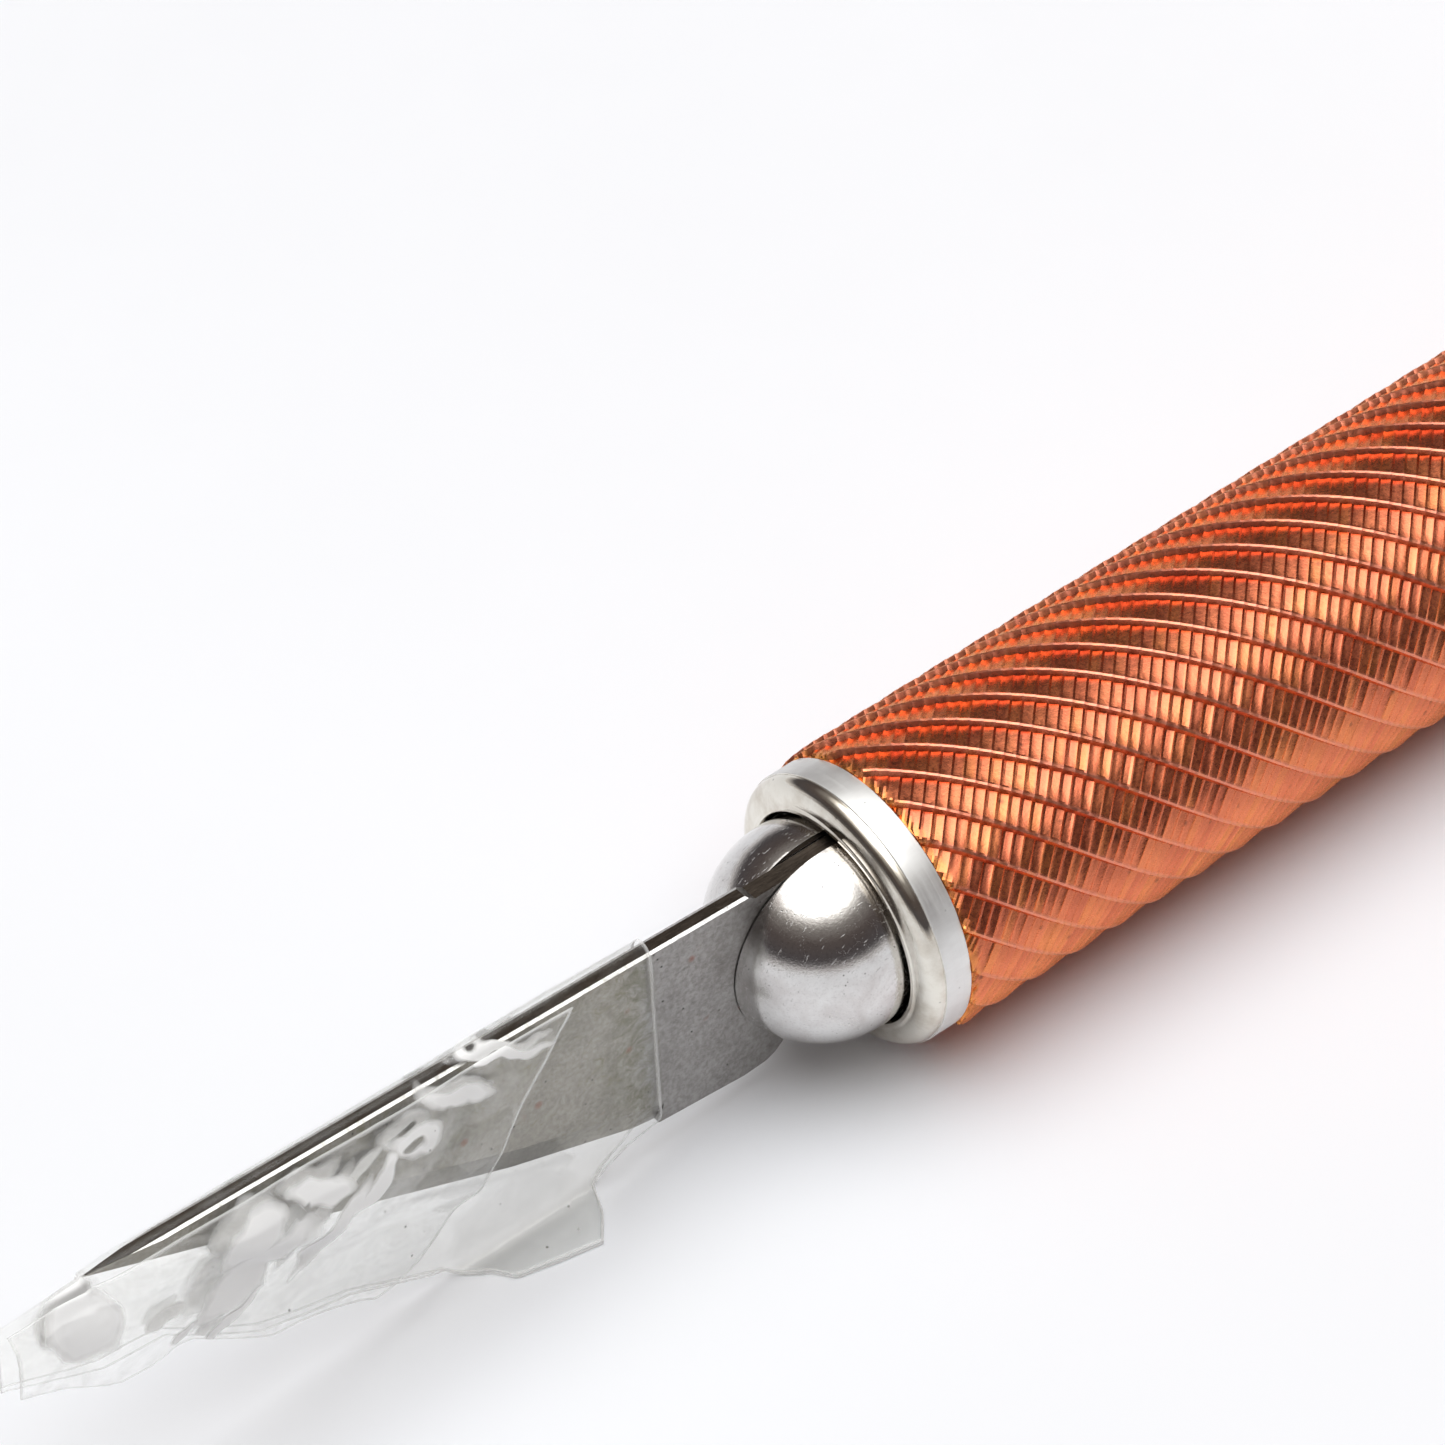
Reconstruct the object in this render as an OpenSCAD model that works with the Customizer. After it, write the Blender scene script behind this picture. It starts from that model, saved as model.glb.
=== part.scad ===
// Hobby craft knife with a draw collet.
// Millimetres. +X runs along the handle from the nose to the rear, +Z towards the blade's spine.
// The origin is on the axis, at the front face of the knurled grip.

/* [Handle] */
// Outside diameter of the knurled grip and of the barrel
handle_d = 8; // [7.8:0.1:8.4]
// Length of the knurled grip
grip_len = 33; // [30:0.5:34]
// Length of the barrel behind the thrust washer
barrel_len = 80; // [60:1:100]
// Thickness of the end plug's head
plug_head = 2.6; // [2:0.1:4]

/* [Nose] */
// Length of the collar's head in front of the grip
collar_head = 1.3; // [1.2:0.05:1.4]
// Outside diameter of the collar's head
collar_d = 7.68; // [7.4:0.02:7.68]
// Radius of the domed nose of the collet
dome_r = 2.92; // [2.88:0.01:2.94]
// Half angle of the draw cone
cone_angle = 12; // [11:0.5:13]

/* [Blade] */
// Thickness of the blade
blade_t = 0.5; // [0.45:0.01:0.52]
// Reach of the blade's tip in front of the grip
blade_reach = 24.35; // [24:0.05:25]
// Height of the tang
tang_h = 4.1; // [3.6:0.1:4.1]
// Width of the ground bevel
bevel_w = 0.75; // [0.5:0.05:1]

/* [Tape] */
// Thickness of the wall that one layer of tape takes up
tape_wall = 0.08; // [0.06:0.01:0.1]

/* [Hidden] */
$fn = 96;
eps = 0.01;
big = 20;

handle_r = handle_d / 2;
fit = 0.05;           // radial clearance of a running fit
chamfer = 0.15;

// Nose collar and its liner tube
collar_r = collar_d / 2;
lip_r = 3.12;         // inner edge of the collar's front face
shoulder_w = 0.42;    // length of the rounded shoulder along X
band_x = -0.8;        // front of the plain band behind the shoulder
band_step = 0.04;
liner_r = 3.3;
bore_r = 2.4;
liner_end = grip_len - 0.1;

// Collet
dome_x = -1.75;       // centre of the nose's sphere
cone_x = -1.2;        // front of the draw cone
cone_r = dome_r - fit;
cone_slope = tan(cone_angle);
arm_r = 2.2;
arm_x = 1.4;
slot_half = blade_t / 2 + 0.03;
knuckle_x = 16;       // where the jaws bend
knuckle_y = 1.25;
knuckle_r = 0.75;
knuckle_len = 2.4;
arm_end = knuckle_x - 0.15;
stem_r = 2.1;
land_r = bore_r - fit;  // guide land that runs in the liner
land_x = [17.5, 21.5];

// Draw thread
thread_r = 1.95;
thread_pitch = 0.7;
thread_root = 1.6;
thread_turns = 16;
thread_x = 31.8;
draw_travel = 1.05;   // one and a half turns of the thread

// Drive pin
pin_r = 0.6;
pin_x = 24;

// Rear of the handle
washer_x = grip_len + fit;
washer_t = 0.3;
washer_r = handle_r - 0.25;
barrel_x = washer_x + washer_t;
barrel_end = barrel_x + barrel_len;
insert_r = 3.1;
insert_len = 9;
insert_bore = thread_r + fit;
barrel_bore = 2.7;
plug_len = 6;
plug_r = handle_r - 0.2;

// Blade outline, in X and Z
spine_slope = 0.0444;
spine_at_axis = 2.687;  // height of the spine's line at X = 0
jog_x = -3.85;          // where the tang's level top begins
tang_top = 2.68;
tang_front = -1;        // front end of the tang's level top
tang_end = 14.8;
tang_cut = 0.8;         // corners cut off the tang's end
neck_x = -2.9;          // where the belly side meets the tang
tip = [-blade_reach, spine_at_axis + spine_slope * blade_reach];
belly = [-11.64, -1.62];
heel = [-7.85, -2.95];
shoulder = [-4.5, -3.25];
shoulder_r = 1.2;
tape_gap = 0.03;

function spine_z(x) = spine_at_axis - spine_slope * x;
function edge_angle(a, b) = atan2(b[1] - a[1], b[0] - a[0]);

// A solid turned about the X axis from [x, radius] points
module turned(points) {
  rotate([0, 90, 0])
    rotate_extrude()
      polygon([for (p = points) [p[1], p[0]]]);
}

// A straight tube along X
module tube(x0, x1, r_out, r_in) {
  difference() {
    translate([x0, 0, 0]) rotate([0, 90, 0]) cylinder(r = r_out, h = x1 - x0);
    translate([x0 - 1, 0, 0]) rotate([0, 90, 0]) cylinder(r = r_in, h = x1 - x0 + 2);
  }
}

// A plate in the XZ plane from [x, z] points, between two values of Y
module plate(points, y0, y1) {
  translate([0, y1, 0])
    rotate([90, 0, 0])
      linear_extrude(height = y1 - y0)
        polygon(points);
}

// A round pin along Z
module pin_z(x, y, r, len) {
  translate([x, y, -len / 2]) cylinder(r = r, h = len);
}

blade_points = [
  tip, [jog_x - 0.25, spine_z(jog_x - 0.25)], [jog_x, tang_top], [tang_front, tang_top],
  [arm_x, tang_h / 2], [tang_end - tang_cut, tang_h / 2], [tang_end, tang_h / 2 - tang_cut],
  [tang_end, tang_cut - tang_h / 2], [tang_end - tang_cut, -tang_h / 2], [neck_x, -tang_h / 2],
  for (a = [0:15:75])
    [shoulder[0] + 0.4 + shoulder_r * cos(a), shoulder[1] + shoulder_r * (1 - sin(a))],
  shoulder, heel, belly
];

// Takes the ground bevel off one side, from point a to point b of the cutting edge
module bevel_cut(a, b, side) {
  edge_half = 0.01;
  overrun = 0.6;
  run = norm(b - a);
  translate([a[0], 0, a[1]])
    rotate([0, -edge_angle(a, b), 0])
      rotate([90, 0, 90])
        translate([0, 0, -overrun])
          linear_extrude(height = run + 2 * overrun)
            polygon([
              [side * edge_half, -1], [side * edge_half, 0], [side * blade_t / 2, bevel_w],
              [side * (blade_t / 2 + 1), bevel_w], [side * (blade_t / 2 + 1), -1]
            ]);
}

// Takes a fine chamfer off one edge of the spine
module spine_cut(side) {
  drop = 0.04;
  inset = 0.09;
  translate([tip[0], side * blade_t / 2, tip[1]])
    rotate([0, atan(spine_slope), 0])
      rotate([90, 0, 90])
        translate([0, 0, -1])
          linear_extrude(height = blade_reach - 3)
            polygon([[0, -drop], [-side * inset, 0], [-side * inset, 1], [side, 1], [side, -drop]]);
}

module blade() {
  color([0.62, 0.62, 0.63])
    difference() {
      plate(blade_points, -blade_t / 2, blade_t / 2);
      for (side = [-1, 1]) {
        bevel_cut(tip, belly, side);
        bevel_cut(belly, heel, side);
        spine_cut(side);
      }
    }
}

// Outline of the upright part of the tape, in X and Z
tape_rear = -7.2;
tape_end = -27;
tape_floor = -3.9;    // underside of the flap that lies flat
flap_t = 0.2;
tape_points = [
  [tape_rear, spine_z(tape_rear) + 0.3], [-10, spine_z(-10) + 0.35], [-22, spine_z(-22) + 0.15],
  [tape_end, 3.7], [tape_end, 1.7], [-24.1, 0.45], [-21.2, -0.5], [-19.5, -1.6],
  [-16.8, -2.4], [-14.3, -3.6], [-13, tape_floor], [-9.3, tape_floor], [-7.55, -3.1],
  [tape_rear, -2.9]
];

// Strip of clear tape folded over the blade, with a flap that turns forward at the bottom
module tape_guard() {
  outer = blade_t / 2 + tape_gap + tape_wall;
  color([0.9, 0.92, 0.93, 0.4])
    union() {
      difference() {
        plate(tape_points, -outer, outer);
        plate(
          [
            [0, spine_z(0) + tape_gap], tip + [-0.1, tape_gap], tip + [-0.1, -0.06],
            belly + [-0.03, -tape_gap], heel + [-0.03, -tape_gap], shoulder + [0, -tape_gap],
            [0, -3.2]
          ],
          -blade_t / 2 - tape_gap, blade_t / 2 + tape_gap
        );
      }
      translate([0, 0, tape_floor])
        linear_extrude(height = flap_t)
          polygon([[-9.4, 0], [-10.3, -1.65], [-12.6, -1.1], [-14, -0.2], [-13, 0]]);
    }
}

// The whole collet head as turned, before the slot is cut
module collet_head() {
  union() {
    intersection() {
      translate([dome_x, 0, 0]) rotate([0, 90, 0]) sphere(r = dome_r);
      translate([dome_x - big, -big / 2, -big / 2]) cube([cone_x + big - dome_x, big, big]);
    }
    turned([
      [cone_x - eps, 0], [cone_x - eps, cone_r], [cone_x, cone_r],
      [arm_x, cone_r - cone_slope * (arm_x - cone_x)], [arm_x, arm_r], [arm_end, arm_r], [arm_end, 0]
    ]);
  }
}

// One jaw: side is -1 for the left jaw and 1 for the right one
module jaw(side) {
  color([0.82, 0.82, 0.83])
    union() {
      intersection() {
        collet_head();
        translate([-big, side > 0 ? slot_half : -slot_half - big, -big / 2])
          cube([2 * big, big, big]);
      }
      pin_z(knuckle_x, side * knuckle_y, knuckle_r, knuckle_len);
    }
}

module collet_jaw_left() {
  jaw(-1);
}

module collet_jaw_right() {
  jaw(1);
}

// Stem that draws the jaws back: a guide land, a slot for the drive pin and the draw thread
module collet_stem() {
  color([0.75, 0.75, 0.77])
    difference() {
      turned(concat(
        [[knuckle_x, 0], [knuckle_x, stem_r], [land_x[0], stem_r], [land_x[0], land_r]],
        [[land_x[1], land_r], [land_x[1], stem_r], [thread_x - 1, stem_r], [thread_x, thread_root]],
        [for (i = [0:thread_turns - 1], s = [0.25, 0.5, 0.75, 1])
          [thread_x + (i + s) * thread_pitch, s == 0.5 || s == 0.75 ? thread_r : thread_root]],
        [[thread_x + thread_turns * thread_pitch + 0.4, thread_root]],
        [[thread_x + thread_turns * thread_pitch + 0.4, 0]]
      ));
      for (side = [-1, 1])
        pin_z(knuckle_x, side * knuckle_y, knuckle_r + fit, big);
      for (x = [pin_x - 0.03, pin_x + draw_travel + 0.1])
        pin_z(x, 0, pin_r + 0.03, big);
      translate([pin_x - 0.03, -pin_r - 0.03, -big / 2])
        cube([draw_travel + 0.13, 2 * pin_r + 0.06, big]);
    }
}

// Bright collar at the nose, with the liner tube that carries the knurled shell
module nose_collar() {
  mouth_r = cone_r + fit;
  throat_x = cone_x + (mouth_r - bore_r) / cone_slope;
  edge_r = lip_r + 0.06;
  color([0.85, 0.85, 0.86])
    difference() {
      turned(concat(
        [[-collar_head, 0], [-collar_head, lip_r]],
        [for (a = [0:15:90])
          [-collar_head + band_step + shoulder_w * (1 - cos(a)),
            edge_r + (collar_r - band_step - edge_r) * sin(a)]],
        [[band_x, collar_r - band_step], [band_x, collar_r], [0, collar_r], [0, liner_r]],
        [[liner_end, liner_r], [liner_end, 0]]
      ));
      turned([
        [-big, 0], [-big, mouth_r + 0.1], [-collar_head - eps, mouth_r + 0.1],
        [cone_x + 0.1, mouth_r], [throat_x, bore_r], [liner_end + 1, bore_r], [liner_end + 1, 0]
      ]);
      pin_z(pin_x, 0, pin_r, big);
    }
}

module knurled_grip() {
  color([0.74, 0.38, 0.26])
    difference() {
      turned([
        [0, 0], [0, handle_r], [grip_len - chamfer, handle_r],
        [grip_len, handle_r - chamfer], [grip_len, 0]
      ]);
      translate([-1, 0, 0]) rotate([0, 90, 0]) cylinder(r = liner_r, h = grip_len + 2);
    }
}

// Cross pin that makes the collet turn with the grip
module drive_pin() {
  color([0.6, 0.6, 0.62])
    pin_z(pin_x, 0, pin_r, 2 * liner_r - 0.2);
}

module thrust_washer() {
  color([0.8, 0.68, 0.35])
    tube(washer_x, washer_x + washer_t, washer_r, bore_r);
}

module threaded_insert() {
  color([0.78, 0.62, 0.32])
    tube(barrel_x + 0.1, barrel_x + 0.1 + insert_len, insert_r, insert_bore);
}

module barrel() {
  step_x = barrel_x + 0.1 + insert_len;
  color([0.72, 0.4, 0.28])
    difference() {
      turned([
        [barrel_x, 0], [barrel_x, handle_r - chamfer], [barrel_x + chamfer, handle_r],
        [barrel_end - chamfer, handle_r], [barrel_end, handle_r - chamfer], [barrel_end, 0]
      ]);
      turned([
        [barrel_x - 1, 0], [barrel_x - 1, insert_r], [step_x, insert_r],
        [step_x, barrel_bore], [barrel_end + 1, barrel_bore], [barrel_end + 1, 0]
      ]);
    }
}

// Plug pressed into the rear of the barrel, with a flat end face
module end_plug() {
  edge_r = 1.2;
  head_end = barrel_end + plug_head;
  color([0.85, 0.85, 0.86])
    turned(concat(
      [[barrel_end - plug_len, 0], [barrel_end - plug_len, barrel_bore - 0.4]],
      [[barrel_end - plug_len + 0.4, barrel_bore], [barrel_end, barrel_bore]],
      [[barrel_end, plug_r]],
      [for (a = [0:15:90])
        [head_end - edge_r * (1 - sin(a)), plug_r - edge_r * (1 - cos(a))]],
      [[head_end, 0]]
    ));
}

blade();
tape_guard();
collet_jaw_left();
collet_jaw_right();
collet_stem();
nose_collar();
knurled_grip();
drive_pin();
thrust_washer();
threaded_insert();
barrel();
end_plug();
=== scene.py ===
"""Looks of the hobby craft knife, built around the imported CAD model.

Lengths in this file are in millimetres and are scaled to metres where a mesh is made.
+X runs along the handle from the nose to the rear, +Z towards the blade's spine.
"""

import math
import random

import bmesh
import bpy
import numpy as np
from mathutils import Matrix, Vector


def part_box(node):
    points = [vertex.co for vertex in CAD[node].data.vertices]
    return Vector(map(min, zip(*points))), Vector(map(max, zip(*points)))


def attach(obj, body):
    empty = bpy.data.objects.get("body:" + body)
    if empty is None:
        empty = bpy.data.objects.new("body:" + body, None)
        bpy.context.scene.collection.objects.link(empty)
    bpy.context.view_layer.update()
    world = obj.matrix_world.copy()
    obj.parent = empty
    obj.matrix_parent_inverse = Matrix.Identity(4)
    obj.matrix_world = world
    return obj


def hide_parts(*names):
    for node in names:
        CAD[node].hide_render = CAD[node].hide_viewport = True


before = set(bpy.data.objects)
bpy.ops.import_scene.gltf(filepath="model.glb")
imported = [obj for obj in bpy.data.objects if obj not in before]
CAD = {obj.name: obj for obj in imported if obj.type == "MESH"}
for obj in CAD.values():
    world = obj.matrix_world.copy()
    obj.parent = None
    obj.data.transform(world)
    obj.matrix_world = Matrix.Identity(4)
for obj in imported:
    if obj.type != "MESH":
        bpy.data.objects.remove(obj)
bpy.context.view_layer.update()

MM = 0.001


def cad_mm(node):
    """Lowest and highest corner of a CAD node, in millimetres."""
    lo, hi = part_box(node)
    return lo / MM, hi / MM


# ---------------------------------------------------------------- dimensions

grip_lo, grip_hi = cad_mm("knurled_grip")
HANDLE_R = grip_hi.z
GRIP_X = (grip_lo.x, grip_hi.x)
FLOOR_Z = grip_lo.z
LINER_R = 3.3
BORE_R = 2.4
BARREL_BORE_R = 2.7

collar_lo, collar_hi = cad_mm("nose_collar")
COLLAR_R = collar_hi.z
COLLAR_X = (collar_lo.x, collar_hi.x)
COLLAR_BAND_X = -0.8

jaw_lo, jaw_hi = cad_mm("collet_jaw_left")
DOME_R = 2.92
DOME_X = jaw_lo.x + DOME_R
CONE_X = -1.2
CONE_R = DOME_R - 0.05
CONE_SLOPE = math.tan(math.radians(12))
ARM_X = (1.4, 15.85)
ARM_R = 2.2
SLOT_HALF = -jaw_hi.y
KNUCKLE = {"x": 16, "y": 1.25, "r": 0.75, "half": 1.2}

blade_lo, blade_hi = cad_mm("blade")
BLADE_HALF = blade_hi.y
SPINE_SLOPE = 0.0444
SPINE_AT_AXIS = 2.687
TIP = (blade_lo.x, SPINE_AT_AXIS - SPINE_SLOPE * blade_lo.x)
BELLY = (-11.64, -1.62)
HEEL = (-7.85, -2.95)
SHOULDER = (-4.5, -3.25)

tape_lo, tape_hi = cad_mm("tape_guard")
washer_lo, washer_hi = cad_mm("thrust_washer")
barrel_lo, barrel_hi = cad_mm("barrel")
plug_lo, plug_hi = cad_mm("end_plug")


# ---------------------------------------------------------------- camera, floor and light


def place_camera():
    """Long lens, looking down at the nose from the blade's side."""
    aim = Vector((-1.04, 4.37, 3.45)) * MM
    distance = 262.65 * MM
    azimuth = math.radians(37.14)
    elevation = math.radians(45.21)
    roll = math.radians(-3.33)
    forward = Vector((
        math.sin(azimuth) * math.cos(elevation),
        math.cos(azimuth) * math.cos(elevation),
        -math.sin(elevation),
    ))
    level = forward.cross(Vector((0, 0, 1))).normalized()
    upright = level.cross(forward)
    right = level * math.cos(roll) + upright * math.sin(roll)
    up = right.cross(forward)
    camera = bpy.data.objects.new("camera", bpy.data.cameras.new("camera"))
    camera.data.lens = 263.1
    camera.data.sensor_width = 36
    camera.data.clip_start = 0.01
    camera.data.clip_end = 10
    turn = Matrix((right, up, -forward)).transposed().to_4x4()
    camera.matrix_world = Matrix.Translation(aim - forward * distance) @ turn
    bpy.context.scene.collection.objects.link(camera)
    bpy.context.scene.camera = camera


def build_world():
    """Bright white overhead, dim surroundings near the horizon, as in a light tent's open front."""
    world = bpy.data.worlds.new("studio")
    bpy.context.scene.world = world
    world.use_nodes = True
    nodes, links = world.node_tree.nodes, world.node_tree.links
    nodes.clear()
    coords = nodes.new("ShaderNodeTexCoord")
    split = nodes.new("ShaderNodeSeparateXYZ")
    links.new(coords.outputs["Generated"], split.inputs[0])
    ramp = nodes.new("ShaderNodeValToRGB")
    stops = [
        (0.0, (0.22, 0.21, 0.205)),
        (0.16, (0.024, 0.022, 0.023)),
        (0.5, (0.03, 0.024, 0.022)),
        (0.71, (0.085, 0.078, 0.072)),
        (0.80, (0.33, 0.315, 0.295)),
        (0.88, (0.84, 0.84, 0.83)),
        (0.95, (0.97, 0.985, 1.0)),
    ]
    ramp.color_ramp.elements[0].position = stops[0][0]
    ramp.color_ramp.elements[1].position = stops[-1][0]
    for place, _ in stops[1:-1]:
        ramp.color_ramp.elements.new(place)
    for element, (_, colour) in zip(ramp.color_ramp.elements, stops):
        element.color = (*colour, 1)
    links.new(split.outputs["Z"], ramp.inputs[0])
    sky = nodes.new("ShaderNodeBackground")
    sky.inputs["Strength"].default_value = 3.3
    links.new(ramp.outputs[0], sky.inputs["Color"])
    seen = nodes.new("ShaderNodeBackground")
    seen.inputs["Color"].default_value = (0.93, 0.93, 0.94, 1)
    path = nodes.new("ShaderNodeLightPath")
    mix = nodes.new("ShaderNodeMixShader")
    links.new(path.outputs["Is Camera Ray"], mix.inputs[0])
    links.new(sky.outputs[0], mix.inputs[1])
    links.new(seen.outputs[0], mix.inputs[2])
    output = nodes.new("ShaderNodeOutputWorld")
    links.new(mix.outputs[0], output.inputs["Surface"])


# ---------------------------------------------------------------- node helpers


class Nodes:
    """A material's node tree with short ways to add what the materials here use."""

    def __init__(self, name):
        self.material = bpy.data.materials.new(name)
        self.material.use_nodes = True
        self.tree = self.material.node_tree
        self.tree.nodes.clear()
        self.output = self.add("ShaderNodeOutputMaterial")

    def add(self, kind, **settings):
        node = self.tree.nodes.new(kind)
        for key, value in settings.items():
            setattr(node, key, value)
        return node

    def link(self, source, target):
        self.tree.links.new(source, target)

    def feed(self, socket, value):
        if isinstance(value, bpy.types.NodeSocket):
            self.link(value, socket)
        elif isinstance(value, tuple) and len(value) == 3 and socket.type == "RGBA":
            socket.default_value = (*value, 1)
        else:
            socket.default_value = value

    def surface(self, shader):
        self.link(shader, self.output.inputs["Surface"])

    def principled(self, **values):
        node = self.add("ShaderNodeBsdfPrincipled")
        for key, value in values.items():
            self.feed(node.inputs[key.replace("_", " ").title().replace("Ior", "IOR")], value)
        return node

    def math(self, operation, a, b=0.0, clamp=False):
        node = self.add("ShaderNodeMath", operation=operation, use_clamp=clamp)
        self.feed(node.inputs[0], a)
        self.feed(node.inputs[1], b)
        return node.outputs[0]

    def remap(self, value, low, high, to_low=0.0, to_high=1.0):
        node = self.add("ShaderNodeMapRange", clamp=True)
        for socket, number in zip(node.inputs[:5], (value, low, high, to_low, to_high)):
            self.feed(socket, number)
        return node.outputs[0]

    def place(self):
        """The point in millimetres, in the knife's own frame."""
        coords = self.add("ShaderNodeTexCoord")
        scale = self.add("ShaderNodeVectorMath", operation="SCALE")
        self.link(coords.outputs["Object"], scale.inputs[0])
        scale.inputs["Scale"].default_value = 1 / MM
        return scale.outputs[0]

    def split(self, vector):
        node = self.add("ShaderNodeSeparateXYZ")
        self.link(vector, node.inputs[0])
        return node.outputs

    def join(self, x, y, z):
        node = self.add("ShaderNodeCombineXYZ")
        for socket, value in zip(node.inputs, (x, y, z)):
            self.feed(socket, value)
        return node.outputs[0]

    def stretch(self, vector, scale):
        node = self.add("ShaderNodeVectorMath", operation="MULTIPLY")
        self.link(vector, node.inputs[0])
        node.inputs[1].default_value = scale
        return node.outputs[0]

    def around(self, vector, tight=1.0):
        """(x, arc length, radius) about the handle's axis, with the arc squeezed by tight."""
        x, y, z = self.split(vector)[:3]
        angle = self.math("ARCTAN2", y, z)
        square = self.math("ADD", self.math("MULTIPLY", y, y), self.math("MULTIPLY", z, z))
        radius = self.math("SQRT", square)
        return self.join(x, self.math("MULTIPLY", angle, tight), radius)

    def noise(self, vector, scale, detail=3.0, roughness=0.55, distortion=0.0):
        node = self.add("ShaderNodeTexNoise")
        self.link(vector, node.inputs["Vector"])
        node.inputs["Scale"].default_value = scale
        node.inputs["Detail"].default_value = detail
        node.inputs["Roughness"].default_value = roughness
        node.inputs["Distortion"].default_value = distortion
        return node.outputs[0]

    def cells(self, vector, scale):
        """Distance to the nearest of a set of scattered points."""
        node = self.add("ShaderNodeTexVoronoi")
        self.link(vector, node.inputs["Vector"])
        node.inputs["Scale"].default_value = scale
        return node.outputs["Distance"]

    def blob(self, place, centre, size, turn=0.0, soft=0.3):
        """1 inside an ellipse drawn in the XZ plane, in millimetres and degrees, with a soft rim."""
        frame_in = self.add("ShaderNodeMapping", vector_type="TEXTURE")
        self.link(place, frame_in.inputs["Vector"])
        frame_in.inputs["Location"].default_value = (centre[0], 0, centre[1])
        frame_in.inputs["Rotation"].default_value = (0, -math.radians(turn), 0)
        frame_in.inputs["Scale"].default_value = (size[0], 1000, size[1])
        reach = self.add("ShaderNodeVectorMath", operation="LENGTH")
        self.link(frame_in.outputs[0], reach.inputs[0])
        return self.remap(reach.outputs["Value"], 1 - soft, 1 + soft, 1, 0)

    def largest(self, *values):
        result = values[0]
        for value in values[1:]:
            result = self.math("MAXIMUM", result, value)
        return result

    def mix(self, factor, a, b):
        node = self.add("ShaderNodeMix", data_type="RGBA")
        self.feed(node.inputs[0], factor)
        self.feed(node.inputs[6], a)
        self.feed(node.inputs[7], b)
        return node.outputs[2]

    def attribute(self, name):
        node = self.add("ShaderNodeAttribute", attribute_name=name)
        return node.outputs["Fac"]

    def bump(self, height, distance_mm):
        node = self.add("ShaderNodeBump")
        node.inputs["Strength"].default_value = 1.0
        node.inputs["Distance"].default_value = distance_mm * MM
        self.link(height, node.inputs["Height"])
        return node.outputs[0]

    def scale_and_shift(self, vector, scale, shift):
        """vector * scale + shift, part by part."""
        node = self.add("ShaderNodeVectorMath", operation="MULTIPLY_ADD")
        self.link(vector, node.inputs[0])
        node.inputs[1].default_value = scale
        self.feed(node.inputs[2], shift)
        return node.outputs[0]


# ---------------------------------------------------------------- materials


def turned_metal(name, colour, dark, roughness, groove, mottle=0.35):
    """Metal off a lathe: fine rings round the axis, faint clouding and a few dark specks."""
    n = Nodes(name)
    place = n.place()
    lathe = n.around(place, 0.35)
    rings = n.noise(n.stretch(lathe, (26, 0.5, 26)), 1.0, 4)
    cloud = n.noise(place, 0.8, 5, 0.6)
    speck = n.remap(n.cells(place, 2.6), 0.03, 0.09, 1, 0)
    speck = n.math("MULTIPLY", speck, n.remap(n.noise(place, 0.7, 2), 0.5, 0.62))
    shade = n.mix(n.remap(cloud, 0.42, 0.68, 0, mottle), colour, dark)
    shade = n.mix(n.math("MULTIPLY", speck, 0.7), shade, (0.05, 0.045, 0.04))
    rough = n.remap(rings, 0.3, 0.7, roughness * 0.75, roughness * 1.3)
    rough = n.math("ADD", rough, n.math("MULTIPLY", speck, 0.2))
    normal = n.bump(rings, groove)
    metal = n.principled(base_color=shade, metallic=1.0, roughness=rough, normal=normal)
    n.surface(metal.outputs[0])
    return n.material


def polished_metal(name, colour, dark):
    """Polished collet nose: a mirror with clouded patches, wandering cracks, pits and scratches."""
    n = Nodes(name)
    place = n.place()
    cloud = n.noise(place, 1.0, 6, 0.62, 0.6)
    fine = n.noise(place, 14, 4, 0.7)
    wander = n.noise(place, 1.15, 5, 0.62, 0.9)
    crack = n.remap(n.math("ABSOLUTE", n.math("SUBTRACT", wander, 0.5)), 0.0, 0.0035, 1, 0)
    crack = n.math("MULTIPLY", crack, n.remap(n.noise(place, 0.9, 2), 0.47, 0.56))
    pits = n.math("MULTIPLY", n.remap(n.cells(place, 5.5), 0.05, 0.14, 1, 0),
                  n.remap(n.noise(place, 1.6, 2), 0.45, 0.6))
    lines = n.noise(n.stretch(place, (1.2, 14, 2.0)), 2.0, 3)
    scratch = n.remap(lines, 0.66, 0.72)
    shade = n.mix(n.remap(cloud, 0.42, 0.7, 0, 0.6), colour, dark)
    shade = n.mix(n.remap(fine, 0.52, 0.75, 0, 0.4), shade, (0.3, 0.28, 0.28))
    shade = n.mix(n.math("MULTIPLY", pits, 0.8), shade, (0.035, 0.03, 0.03))
    shade = n.mix(n.math("MULTIPLY", crack, 0.5), shade, (0.9, 0.88, 0.85))
    rough = n.math("ADD", n.remap(cloud, 0.35, 0.75, 0.05, 0.16), n.math("MULTIPLY", scratch, 0.15))
    rough = n.math("ADD", rough, n.math("MULTIPLY", crack, 0.3))
    height = n.math("ADD", n.math("MULTIPLY", fine, 0.5), n.math("MULTIPLY", pits, -1.2))
    height = n.math("SUBTRACT", height, n.math("MULTIPLY", scratch, 0.4))
    normal = n.bump(height, 0.006)
    metal = n.principled(base_color=shade, metallic=1.0, roughness=rough, normal=normal)
    n.surface(metal.outputs[0])
    return n.material


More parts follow.
